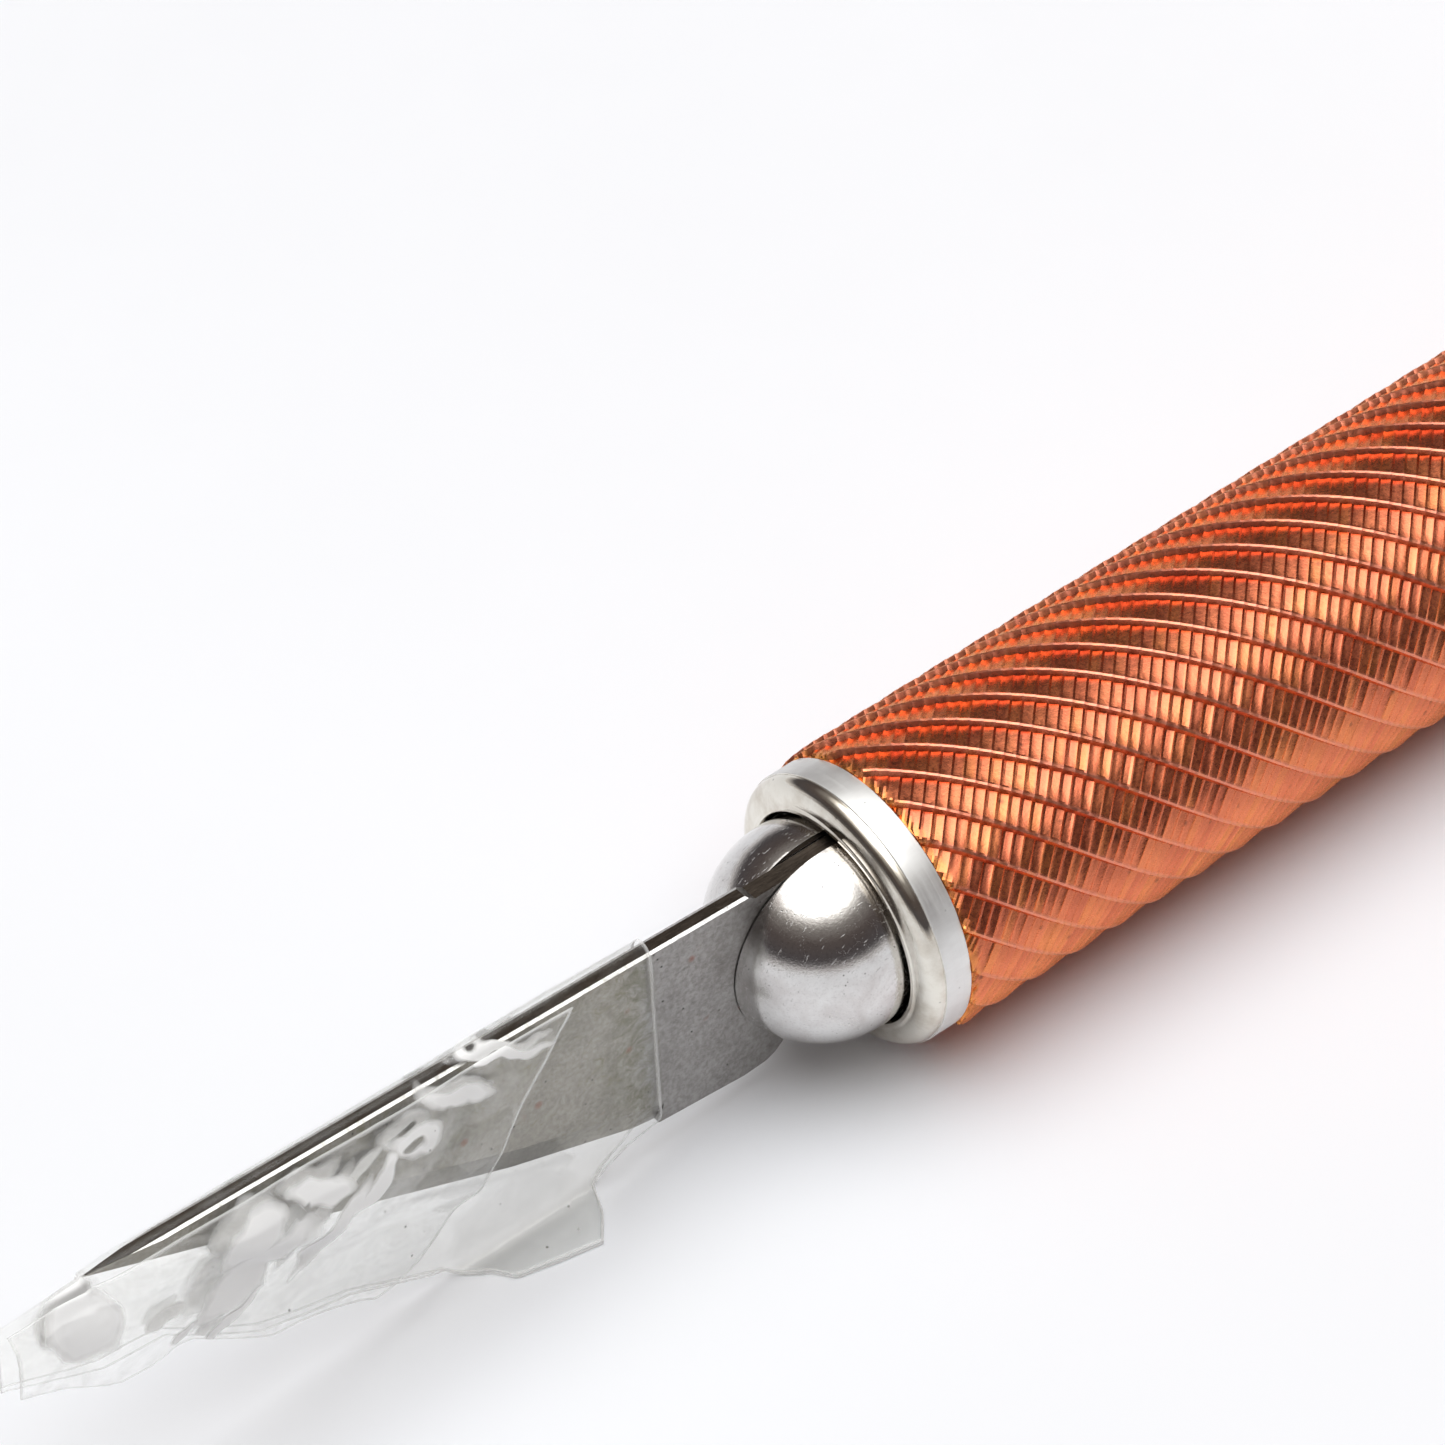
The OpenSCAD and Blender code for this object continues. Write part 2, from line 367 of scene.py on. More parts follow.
def collar_material():
    """Turned collar: a satin band behind the step, a polished shoulder and lip before it."""
    n = Nodes("collar_metal")
    place = n.place()
    x = n.split(place)[0]
    band = n.remap(x, COLLAR_BAND_X - 0.01, COLLAR_BAND_X + 0.01)
    lathe = n.around(place, 0.35)
    rings = n.noise(n.stretch(lathe, (26, 0.5, 26)), 1.0, 4)
    across = n.noise(n.stretch(n.around(place, 6.0), (0.6, 1, 0.6)), 1.2, 3, 0.6)
    cloud = n.noise(place, 1.1, 5, 0.65)
    speck = n.math("MULTIPLY", n.remap(n.cells(place, 2.4), 0.04, 0.1, 1, 0),
                   n.remap(n.noise(place, 0.9, 2), 0.5, 0.6))
    satin = n.mix(n.remap(across, 0.35, 0.65, 0, 0.6), (0.86, 0.86, 0.85), (0.72, 0.71, 0.70))
    bright = n.mix(n.remap(cloud, 0.42, 0.66, 0, 0.7), (0.80, 0.77, 0.70), (0.52, 0.46, 0.38))
    shade = n.mix(band, bright, satin)
    shade = n.mix(n.math("MULTIPLY", speck, 0.7), shade, (0.05, 0.045, 0.04))
    polish = n.math("ADD", n.remap(cloud, 0.3, 0.7, 0.05, 0.14), n.math("MULTIPLY", speck, 0.2))
    rough = n.math("ADD", n.math("MULTIPLY", band, n.remap(rings, 0.3, 0.7, 0.26, 0.42)), polish)
    metal = n.principled(base_color=shade, metallic=n.remap(band, 0, 1, 1, 0.82), roughness=rough,
                         normal=n.bump(rings, 0.003))
    n.surface(metal.outputs[0])
    return n.material


def copper_knurl_material():
    """Anodised copper over the knurling, with painted shade deepening and browning the pockets, a painted
    highlight paling the crests and a painted golden glint on the burred ends.
    """
    n = Nodes("copper_knurl")
    place = n.place()
    depth = n.attribute("depth")
    crest = n.attribute("crest")
    tone = n.attribute("tone")
    burr_glint = n.attribute("burr_glint")
    cloud = n.noise(place, 0.35, 4, 0.6)
    grain = n.noise(place, 9, 4, 0.65)
    base = n.mix(n.remap(cloud, 0.35, 0.68), (0.84, 0.24, 0.11), (0.76, 0.20, 0.095))
    base = n.mix(n.remap(tone, 0.6, 1.0, 0, 0.4), base, (0.85, 0.30, 0.08))
    base = n.mix(n.remap(tone, 0.0, 0.4, 0.5, 0), base, (0.60, 0.13, 0.07))
    # painted shade: the deeper the pocket, the darker and browner the copper
    base = n.mix(n.remap(depth, 0.5, 1.0, 0, 0.5), base, (0.38, 0.085, 0.045))
    # painted highlight: the ridge crests are painted pale
    base = n.mix(n.math("MULTIPLY", crest, 0.7), base, (0.80, 0.31, 0.22))
    # painted glint: the burred ends are painted a bright golden copper
    base = n.mix(n.remap(burr_glint, 0.25, 1.0, 0, 0.8), base, (0.95, 0.40, 0.07))
    grime = n.remap(n.cells(place, 1.9), 0.06, 0.2, 1, 0)
    grime = n.math("MULTIPLY", grime, n.remap(depth, 0.3, 0.8))
    base = n.mix(n.math("MULTIPLY", grime, 0.6), base, (0.06, 0.035, 0.025))
    rough = n.math("ADD", n.remap(grain, 0.3, 0.75, 0.2, 0.38), n.math("MULTIPLY", crest, 0.1))
    normal = n.bump(grain, 0.006)
    metal = n.principled(base_color=base, metallic=1.0, roughness=rough, normal=normal,
                         specular_tint=(1.0, 0.78, 0.45), coat_weight=0.35, coat_roughness=0.28)
    n.surface(metal.outputs[0])
    return n.material


def blade_material():
    """Ground steel: fine scratches, pits, rust and old glue, a dark spine and a painted highlight on the
    thin chamfers.
    """
    n = Nodes("blade_steel")
    place = n.place()
    x = n.split(place)[0]
    normal_y, normal_z = n.split(n.add("ShaderNodeTexCoord").outputs["Normal"])[1:3]
    covered = n.remap(n.math("ADD", x, n.noise(place, 1.2, 4, 0.7)), -6.9, -7.4)
    grind = n.noise(n.stretch(place, (1.2, 6, 26)), 1.4, 5, 0.65)
    cloud = n.noise(place, 0.55, 6, 0.65)
    speckle = n.noise(place, 7.0, 4, 0.75)
    bare = n.mix(n.remap(cloud, 0.35, 0.68), (0.365, 0.352, 0.342), (0.28, 0.268, 0.258))
    under = n.mix(n.remap(cloud, 0.35, 0.68), (0.36, 0.335, 0.295), (0.27, 0.255, 0.215))
    shade = n.mix(covered, bare, under)
    shade = n.mix(n.remap(speckle, 0.46, 0.72, 0, 0.55), shade, (0.15, 0.14, 0.12))
    shade = n.mix(n.remap(speckle, 0.5, 0.3, 0, 0.3), shade, (0.5, 0.49, 0.48))
    edge_band = n.math("MULTIPLY", n.remap(x, -9.0, -8.1), n.remap(x, -7.4, -7.0, 1, 0))
    patch = n.remap(n.noise(place, 1.7, 6, 0.75, 1.0), 0.42, 0.6)
    tide_mark = n.math("MULTIPLY", n.math("MULTIPLY", edge_band, patch), 0.75)
    shade = n.mix(tide_mark, shade, (0.12, 0.115, 0.06))
    glue_noise = n.noise(n.stretch(place, (1.0, 1, 1.5)), 1.1, 6, 0.72, 1.8)
    glue = n.math("MULTIPLY", n.remap(glue_noise, 0.57, 0.66), covered)
    shade = n.mix(n.math("MULTIPLY", glue, 0.5), shade, (0.2, 0.185, 0.09))
    rust = n.math("MULTIPLY", n.remap(n.cells(place, 0.9), 0.06, 0.14, 1, 0),
                  n.remap(n.noise(place, 0.9, 1), 0.48, 0.58))
    shade = n.mix(n.math("MULTIPLY", rust, 0.6), shade, (0.26, 0.08, 0.045))
    pits = n.math("MULTIPLY", n.remap(n.cells(place, 2.3), 0.04, 0.09, 1, 0),
                  n.remap(n.noise(place, 0.8, 2), 0.42, 0.52))
    shade = n.mix(pits, shade, (0.02, 0.018, 0.016))
    flank = n.math("ABSOLUTE", normal_y)
    top = n.math("MULTIPLY", n.remap(normal_z, 0.85, 0.92), n.remap(flank, 0.2, 0.12))
    stain = n.remap(n.noise(n.stretch(place, (0.8, 5, 5)), 3.0, 5, 0.7), 0.3, 0.7)
    shade = n.mix(top, shade, n.mix(stain, (0.085, 0.068, 0.055), (0.035, 0.028, 0.022)))
    # painted highlight: faces at the chamfers' slope are painted near white, broken up by noise
    chamfer_highlight = n.math("MULTIPLY", n.remap(normal_z, 0.3, 0.4), n.remap(flank, 0.2, 0.3))
    highlight_breakup = n.remap(n.noise(n.stretch(place, (3, 1, 1)), 3.0, 4), 0.35, 0.5, 0.55, 1)
    shade = n.mix(n.math("MULTIPLY", chamfer_highlight, highlight_breakup), shade, (0.86, 0.85, 0.83))
    line = n.noise(n.stretch(place, (0.7, 2, 5)), 2.6, 2, 0.5, 0.4)
    scratch = n.math("MULTIPLY", n.remap(line, 0.49, 0.5), n.remap(line, 0.5, 0.51, 1, 0))
    rough = n.remap(grind, 0.3, 0.7, 0.28, 0.46)
    rough = n.math("ADD", rough, n.math("MULTIPLY", pits, 0.3))
    height = n.math("ADD", n.math("MULTIPLY", grind, 0.6), n.math("MULTIPLY", pits, -1.5))
    height = n.math("SUBTRACT", height, n.math("MULTIPLY", scratch, 0.5))
    height = n.math("SUBTRACT", height, n.math("MULTIPLY", speckle, 0.5))
    normal = n.bump(height, 0.008)
    metal = n.principled(base_color=shade, metallic=1.0, roughness=rough, normal=normal)
    n.surface(metal.outputs[0])
    return n.material


# Painted glints: white spots on the tape, standing in for light caught by its crumpled facets: centre x
# and z, half length and half height, turn in degrees
TAPE_GLINTS = [
    ((-12.0, 3.15), (1.5, 0.16), -22),
    ((-13.4, 2.75), (1.1, 0.3), -30),
    ((-14.9, 2.45), (0.75, 0.42), -12),
    ((-16.4, 1.95), (1.0, 0.2), 28),
    ((-17.9, 2.75), (0.95, 0.38), -20),
    ((-17.7, 1.3), (1.5, 0.26), 40),
    ((-19.9, 1.3), (1.9, 0.75), 20),
    ((-19.9, 2.6), (0.7, 0.95), -35),
    ((-22.4, 4.25), (1.6, 0.2), 0),
    ((-24.8, 2.9), (0.85, 1.05), 10),
    ((-20.8, -0.1), (1.5, 0.13), 28),
    ((-22.2, 0.9), (0.45, 0.25), 10),
]
# Clear holes inside those painted glints
TAPE_HOLES = [
    ((-15.05, 2.35), (0.28, 0.16), 0),
    ((-19.2, 0.75), (0.35, 0.5), 20),
    ((-18.5, 2.4), (0.3, 0.14), 30),
]


def film_material():
    """Clear tape: see-through, glossy and milky where it is loose, with painted glints in white spots and
    a painted highlight along its cut edges.
    """
    n = Nodes("clear_tape")
    place = n.place()
    y = n.split(place)[1]
    loose = n.attribute("loose")
    rim = n.attribute("rim")
    wander = n.add("ShaderNodeTexNoise")
    n.link(place, wander.inputs["Vector"])
    wander.inputs["Scale"].default_value = 0.9
    wander.inputs["Detail"].default_value = 1.5
    wandered = n.scale_and_shift(wander.outputs["Color"], (1.0, 0, 1.0), place)
    warped = n.scale_and_shift(wandered, (1.0, 1.0, 1.0), (-0.5, 0, -0.5))
    glints = n.largest(*[n.blob(warped, *spot, soft=0.22) for spot in TAPE_GLINTS])
    holes = n.largest(*[n.blob(warped, *hole, soft=0.25) for hole in TAPE_HOLES])
    glints = n.math("MULTIPLY", glints, n.math("SUBTRACT", 1.0, holes))
    # the painted glints are weaker on the far side of the fold
    near = n.remap(y, 0.0, -0.05, 0.35, 1)
    glints = n.math("MULTIPLY", glints, near)
    cloud = n.noise(n.stretch(place, (0.7, 1, 1.2)), 0.9, 5, 0.6, 0.8)
    loose_milk = n.math("MULTIPLY", loose, n.remap(cloud, 0.42, 0.66, 0.0, 0.13))
    milk_share = n.math("ADD", n.remap(cloud, 0.42, 0.75, 0.0, 0.03), loose_milk)
    dust = n.math("MULTIPLY", n.remap(n.cells(place, 1.3), 0.03, 0.06, 1, 0),
                  n.remap(n.noise(place, 0.5, 1), 0.5, 0.56))
    # painted highlight: the film's cut edges (rim) are painted white, next to the real milky haze and the
    # painted glints
    white = n.largest(milk_share, n.math("MULTIPLY", glints, 0.93), n.math("MULTIPLY", rim, 0.4))
    facing = n.add("ShaderNodeLayerWeight")
    facing.inputs["Blend"].default_value = 0.5
    gloss = n.math("POWER", facing.outputs["Facing"], 4.0)
    gloss = n.math("ADD", n.math("MULTIPLY", gloss, 0.7), 0.014, clamp=True)
    clear = n.add("ShaderNodeBsdfTransparent")
    clear.inputs["Color"].default_value = (0.997, 0.997, 0.992, 1)
    ripple = n.bump(n.noise(place, 1.4, 3, 0.5), 0.02)
    skin = n.principled(base_color=(1.0, 1.0, 1.0), metallic=1.0, roughness=0.06, normal=ripple)
    film = n.add("ShaderNodeMixShader")
    n.link(gloss, film.inputs[0])
    n.link(clear.outputs[0], film.inputs[1])
    n.link(skin.outputs[0], film.inputs[2])
    tint = n.mix(dust, (0.97, 0.97, 0.965), (0.08, 0.07, 0.06))
    # the white parts' shading normal is tilted upward so they catch the overhead light
    normal = n.add("ShaderNodeNewGeometry").outputs["Normal"]
    tilted = n.scale_and_shift(normal, (0.95, 0.95, 0.95), (0, 0, 0.35))
    upward = n.add("ShaderNodeVectorMath", operation="NORMALIZE")
    n.link(tilted, upward.inputs[0])
    milk = n.principled(base_color=tint, roughness=0.35, normal=upward.outputs[0])
    mixed = n.add("ShaderNodeMixShader")
    n.link(n.largest(white, dust), mixed.inputs[0])
    n.link(film.outputs[0], mixed.inputs[1])
    n.link(milk.outputs[0], mixed.inputs[2])
    n.surface(mixed.outputs[0])
    return n.material


def floor_material():
    """Pale table top, faintly clouded."""
    n = Nodes("pale_table")
    place = n.place()
    cloud = n.noise(place, 0.02, 3)
    shade = n.mix(n.remap(cloud, 0.35, 0.65), (0.875, 0.885, 0.915), (0.85, 0.86, 0.89))
    rough = n.remap(n.noise(place, 0.5, 2), 0.3, 0.7, 0.42, 0.5)
    table = n.principled(base_color=shade, roughness=rough)
    n.surface(table.outputs[0])
    return n.material


# ---------------------------------------------------------------- mesh helpers


def finish_piece(name, mesh, material, sharp=35):
    """Links a mesh as an object, shaded smooth but for edges sharper than the given degrees."""
    mesh.validate()
    mesh.materials.append(material)
    mesh.shade_smooth()
    mesh.set_sharp_from_angle(angle=math.radians(sharp))
    piece = bpy.data.objects.new(name, mesh)
    bpy.context.scene.collection.objects.link(piece)
    return piece


def fillet(corners, steps=4):
    """Rounds a closed outline. Each corner is (x, r, rounding radius)."""
    out = []
    count = len(corners)
    for i, (x, r, size) in enumerate(corners):
        here = Vector((x, r))
        before = Vector(corners[i - 1][:2])
        after = Vector(corners[(i + 1) % count][:2])
        to_before, to_after = before - here, after - here
        if size <= 0:
            out.append((x, r))
            continue
        half = to_before.angle(to_after) / 2
        run = min(size / math.tan(half), to_before.length * 0.45, to_after.length * 0.45)
        start = here + to_before.normalized() * run
        end = here + to_after.normalized() * run
        for k in range(steps + 1):
            t = k / steps
            point = start * (1 - t) ** 2 + here * 2 * t * (1 - t) + end * t ** 2
            out.append((point.x, point.y))
    return out


def lathe_bmesh(profile, segments=160, closed=True):
    """Turns (x, r) points about the X axis. A point with r = 0 becomes one vertex."""
    bm = bmesh.new()
    rings = []
    for x, r in profile:
        if r < 1e-6:
            rings.append([bm.verts.new((x * MM, 0, 0))])
            continue
        ring = []
        for k in range(segments):
            a = 2 * math.pi * k / segments
            ring.append(bm.verts.new((x * MM, -r * math.sin(a) * MM, r * math.cos(a) * MM)))
        rings.append(ring)
    pairs = list(zip(rings, rings[1:]))
    if closed:
        pairs.append((rings[-1], rings[0]))
    for a, b in pairs:
        if len(a) == 1 and len(b) == 1:
            continue
        for k in range(segments):
            j = (k + 1) % segments
            corners = [a[k % len(a)], a[j % len(a)], b[j % len(b)], b[k % len(b)]]
            unique = list(dict.fromkeys(corners))
            bm.faces.new(unique)
    bmesh.ops.recalc_face_normals(bm, faces=bm.faces)
    return bm


def bmesh_piece(name, bm, material, sharp=35):
    mesh = bpy.data.meshes.new(name)
    bm.to_mesh(mesh)
    bm.free()
    return finish_piece(name, mesh, material, sharp)


def join_to(target, tool):
    """Joins a tool to the target as one solid, and removes the tool."""
    step = target.modifiers.new("join", "BOOLEAN")
    step.operation = "UNION"
    step.object = tool
    step.solver = "EXACT"
    bpy.context.view_layer.update()
    done = bpy.data.meshes.new_from_object(target.evaluated_get(bpy.context.evaluated_depsgraph_get()))
    target.modifiers.clear()
    old = target.data
    target.data = done
    bpy.data.meshes.remove(old)
    bpy.data.objects.remove(tool)


def rod(name, centre, radius, half, material):
    """A round rod along Z with softened ends."""
    edge = 0.04
    bm = bmesh.new()
    bmesh.ops.create_cone(bm, cap_ends=True, segments=48, radius1=radius * MM, radius2=radius * MM,
                          depth=2 * half * MM)
    rims = [e for e in bm.edges
            if len(e.link_faces) == 2 and any(len(f.verts) > 4 for f in e.link_faces)]
    bmesh.ops.bevel(bm, geom=rims, offset=edge * MM, segments=2, affect="EDGES")
    bmesh.ops.translate(bm, vec=Vector(centre) * MM, verts=bm.verts)
    return bmesh_piece(name, bm, material)


# ---------------------------------------------------------------- knurled grip

KNURL = {
    "ridges": 19,           # coarse helical ridges, left-hand
    "teeth_per_ridge": 3,   # fine helical teeth for each ridge, right-hand
    "steps": 5,             # mesh steps across one fine tooth
    "phase": -1.95,         # arc length from the top to a ridge's crest, at the front face
}
# Across one ridge: mesh step, depth of the tooth tops, depth of the grooves between teeth under them
RIDGE_PROFILE = [
    (0, 0.0, 0.01),
    (1, 0.008, 0.014),
    (2, 0.13, 0.04),
    (5, 0.106, 0.045),
    (8, 0.077, 0.045),
    (11, 0.046, 0.04),
    (14, 0.014, 0.03),
]
# Across one fine tooth: share of the groove's depth at each mesh step
TOOTH_PROFILE = [0.0, 0.9, 1.0, 0.72, 0.42]


def knurled_grip(material):
    """The knurled shell: two crossing helices cut in the outside of a tube."""
    rng = np.random.default_rng(7)
    draws = 4096
    ridges, steps = KNURL["ridges"], KNURL["steps"]
    per_ridge = KNURL["teeth_per_ridge"] * steps
    unit = 2 * math.pi * HANDLE_R / (ridges * per_ridge)
    count = int((GRIP_X[1] - GRIP_X[0]) / (unit / 2)) + 1
    along = GRIP_X[0] + np.arange(count) * unit / 2
    along[-1] = GRIP_X[1]
    columns = [(k * per_ridge + q, q, tops, groove)
               for k in range(ridges) for q, tops, groove in RIDGE_PROFILE]
    wide = len(columns)
    place = np.array([c[0] for c in columns])
    tops = np.array([c[2] for c in columns])
    groove = np.array([c[3] for c in columns])
    on_crest = np.array([1.0 if c[1] <= 1 else 0.0 for c in columns])

    i = np.arange(count)[:, None]
    tooth_step = i + place[None, :]
    tooth = np.array(TOOTH_PROFILE)[tooth_step % steps]
    cell = (tooth_step // steps) * 31 + (place[None, :] // per_ridge) * 977
    tone = rng.random(draws)[cell % draws]
    wobble = rng.random(draws)[(cell * 7) % draws] - 0.5

    depth = tops[None, :] + groove[None, :] * tooth * (0.9 + 0.35 * wobble)
    depth = depth + 0.012 * wobble * (1 - on_crest[None, :])
    arc = along[:, None] + KNURL["phase"] + place[None, :] * unit
    angle = arc / HANDLE_R
    edge = np.minimum(along - GRIP_X[0], GRIP_X[1] - along)[:, None]
    ragged = rng.random((count, wide))
    near_end = np.clip(1 - edge / 0.45, 0, 1)
    depth = depth + near_end ** 2 * (0.05 + 0.09 * ragged)
    depth = np.clip(depth, 0, HANDLE_R - LINER_R - 0.15)
    radius = HANDLE_R - depth
    shift = near_end * (ragged - 0.5) * 0.03
    shift[0, :] = np.abs(shift[0, :])
    shift[-1, :] = -np.abs(shift[-1, :])
    outer = np.stack([
        along[:, None] + shift,
        -radius * np.sin(angle),
        radius * np.cos(angle),
    ], axis=-1).reshape(-1, 3)

    skip = round((GRIP_X[1] - GRIP_X[0]) / (per_ridge * unit)) * len(RIDGE_PROFILE)
    inner_front = np.stack([
        np.full(wide, GRIP_X[0]), -LINER_R * np.sin(angle[0]), LINER_R * np.cos(angle[0])], axis=-1)
    inner_rear = np.stack([
        np.full(wide, GRIP_X[1]), -LINER_R * np.sin(angle[-1]), LINER_R * np.cos(angle[-1])], axis=-1)
    points = np.concatenate([outer, inner_front, inner_rear])

    faces = []
    for k in range(wide):
        j = (k + 1) % wide
        lag = int(place[j] - place[k]) % (ridges * per_ridge)
        for row in range(lag, count - 1):
            faces.append((row * wide + k, (row + 1) * wide + k, (row + 1 - lag) * wide + j,
                          (row - lag) * wide + j))
        for row in range(lag):
            faces.append((row * wide + k, (row + 1) * wide + k, j))
        for row in range(count - 1 - lag, count - 1):
            faces.append(((count - 1) * wide + k, (row + 1) * wide + j, row * wide + j))
    front, rear = count * wide, count * wide + wide
    last = (count - 1) * wide
    for k in range(wide):
        j = (k + 1) % wide
        faces.append((k, j, front + j, front + k))
        faces.append((last + j, last + k, rear + k, rear + j))
        faces.append((front + k, front + j, rear + (j - skip) % wide, rear + (k - skip) % wide))

    mesh = bpy.data.meshes.new("knurled_shell")
    mesh.from_pydata((points * MM).tolist(), [], faces)
    mesh.flip_normals()
    pad = np.zeros(2 * wide)
    burr_glint = near_end * np.ones((1, wide))
    deepest = 0.17
    layers = {
        # depth also drives the painted shade in the pockets
        "depth": np.clip(depth / deepest, 0, 1),
        # crest marks where the material paints a highlight along the ridge crests
        "crest": on_crest[None, :] * (1 - tooth * 0.4) * (1 - burr_glint),
        "tone": tone,
        # burr_glint marks the ragged ends, burred in the mesh, where the material paints a golden glint
        "burr_glint": burr_glint * (0.4 + 0.6 * ragged),
    }
    for name, values in layers.items():
        layer = mesh.attributes.new(name, "FLOAT", "POINT")
        full = np.concatenate([np.broadcast_to(values, (count, wide)).ravel(), pad])
        layer.data.foreach_set("value", full.astype(np.float32))
    return finish_piece("knurled_shell", mesh, material, sharp=12)


# ---------------------------------------------------------------- turned pieces


def collar(material):
    """Bright collar: satin band, turned line, polished shoulder and thin inner lip, on its liner tube."""
    front = COLLAR_X[0]
    mouth = CONE_R + 0.05
    throat_x = CONE_X + (mouth - BORE_R) / CONE_SLOPE
    shoulder_w, lip_r = 0.42, 3.12
    shoulder_r = COLLAR_R - 0.04
    edge_r = lip_r + 0.06
    corners = [(front, mouth + 0.1, 0.03), (front, lip_r, 0.04)]
    for k in range(25):
        a = math.radians(90) * k / 24
        corners.append((front + 0.04 + shoulder_w * (1 - math.cos(a)),
                        edge_r + (shoulder_r - edge_r) * math.sin(a), 0))
    corners += [
        (COLLAR_BAND_X, shoulder_r, 0.01),
        (COLLAR_BAND_X, COLLAR_R, 0.03),
        (0, COLLAR_R, 0.03),
        (0, LINER_R, 0),
        (COLLAR_X[1], LINER_R, 0.03),
        (COLLAR_X[1], BORE_R, 0.03),
        (throat_x, BORE_R, 0),
        (CONE_X + 0.1, mouth, 0.03),
    ]
    outline = fillet(corners)
    return bmesh_piece("turned_collar", lathe_bmesh(outline, 256), material, 40)


def collet_jaw(name, side, material):
    """One jaw of the collet: half a domed, coned and stepped turning, with its knuckle."""
    profile = [(DOME_X - DOME_R, 0)]
    last = math.acos((DOME_X - CONE_X) / DOME_R)
    for k in range(1, 49):
        a = last * k / 48
        profile.append((DOME_X - DOME_R * math.cos(a), DOME_R * math.sin(a)))
    cone_end = CONE_R - CONE_SLOPE * (ARM_X[0] - CONE_X)
    profile += [(CONE_X + 0.02, CONE_R), (ARM_X[0] - 0.05, cone_end + 0.01), (ARM_X[0], cone_end - 0.05),
                (ARM_X[0], ARM_R), (ARM_X[1] - 0.05, ARM_R), (ARM_X[1], ARM_R - 0.05), (ARM_X[1], 0)]
    bm = lathe_bmesh(profile, 192, closed=False)
    everything = bm.verts[:] + bm.edges[:] + bm.faces[:]
    cut = bmesh.ops.bisect_plane(
        bm, geom=everything, dist=1e-8, plane_co=(0, side * SLOT_HALF * MM, 0), plane_no=(0, side, 0),
        clear_inner=True)
    rim = [e for e in cut["geom_cut"] if isinstance(e, bmesh.types.BMEdge)]
    bmesh.ops.contextual_create(bm, geom=rim)
    bmesh.ops.bevel(bm, geom=rim, offset=0.05 * MM, segments=3, profile=0.5, affect="EDGES",
                    clamp_overlap=True)
    bmesh.ops.recalc_face_normals(bm, faces=bm.faces)
    jaw = bmesh_piece(name, bm, material, 30)
    centre = (KNUCKLE["x"], side * KNUCKLE["y"], 0)
    knuckle = rod("knuckle", centre, KNUCKLE["r"], KNUCKLE["half"], material)
    join_to(jaw, knuckle)
    jaw.data.shade_smooth()
    jaw.data.set_sharp_from_angle(angle=math.radians(30))
    return jaw


def washer(material):
    """Thin washer between the grip and the barrel."""
    outline = fillet([
        (washer_lo.x, BORE_R, 0.06), (washer_lo.x, washer_hi.z, 0.08),
        (washer_hi.x, washer_hi.z, 0.08), (washer_hi.x, BORE_R, 0.06)])
    return bmesh_piece("brass_washer", lathe_bmesh(outline, 160), material)


def barrel(material):
    """Smooth tube with a wider seat for the threaded insert at its front."""
    seat_r = 3.1
    seat_end = barrel_lo.x + 9.1
    outline = fillet([
        (barrel_lo.x, seat_r, 0.05), (barrel_lo.x, HANDLE_R, 0.2),
        (barrel_hi.x, HANDLE_R, 0.2), (barrel_hi.x, BARREL_BORE_R, 0.05),
        (seat_end, BARREL_BORE_R, 0), (seat_end, seat_r, 0)])
    return bmesh_piece("smooth_barrel", lathe_bmesh(outline, 192), material)


def end_plug(material):
    """Plug in the rear of the barrel, with a rounded head."""
    head_x = barrel_hi.x
    outline = fillet([
        (plug_lo.x, 0, 0), (plug_lo.x, BARREL_BORE_R, 0.35), (head_x, BARREL_BORE_R, 0),
        (head_x, plug_hi.z, 0.1), (plug_hi.x, plug_hi.z, 1.2), (plug_hi.x, 0, 0)], steps=12)
    return bmesh_piece("turned_plug", lathe_bmesh(outline, 160, closed=False), material)


# ---------------------------------------------------------------- tape


def on_line(x, points):
    """Value at x along a list of (x, value) points in rising x."""
    return np.interp(x, [p[0] for p in points], [p[1] for p in points])


# Lower edge of the folded tape: x and height
LOWER_EDGE = [
    (-27.0, 1.7), (-26.4, 1.45), (-25.3, 0.95), (-24.1, 0.45), (-22.3, 0.3), (-21.2, -0.5),
    (-19.5, -1.6), (-18.3, -2.0), (-16.8, -2.4), (-14.3, -3.6), (-13.2, -3.9), (-9.3, -3.9),
    (-7.6, -3.15), (-7.2, -2.9)]
# The flap that lies on the table: x and how far it runs past the lower edge
FLAP_REACH = [
    (-14.0, 0.0), (-13.0, 0.5), (-12.6, 1.1), (-11.4, 1.4), (-10.3, 1.62), (-9.7, 0.9), (-9.3, 0.0)]
CUTTING_EDGE = [TIP, BELLY, HEEL, SHOULDER]
FILM_T = 0.035


def fold_line(x):
    """Height of the tape's fold above the spine's line, and of the fold itself."""
    past_tip = 3.62
    spine = np.where(x > TIP[0], SPINE_AT_AXIS - SPINE_SLOPE * x, past_tip)
    fold = on_line(x, [(-27, 0.06), (-22, 0.15), (-14, 0.24), (-10, 0.35), (-7.2, 0.3)])
    return fold, spine + fold


def crumple(x, run, side, layer):
    """How far the film stands off, in millimetres: flat facets between sharp creases."""
    out = np.zeros_like(x)
    rng = random.Random(11 + layer * 5 + (side > 0))
    tall = 0.1 if layer == 0 else 0.3
    for _ in range(18 + 14 * layer):
        cx, cr = rng.uniform(-27, -9), rng.uniform(0, 7)
        a = rng.uniform(0, math.pi)
        across = (x - cx) * math.cos(a) + (run - cr) * math.sin(a)
        near = np.exp(-((x - cx) ** 2 + (run - cr) ** 2) / rng.uniform(1.5, 9))
        out += np.abs(across) * near * rng.uniform(-0.5, 1) * tall
    return out


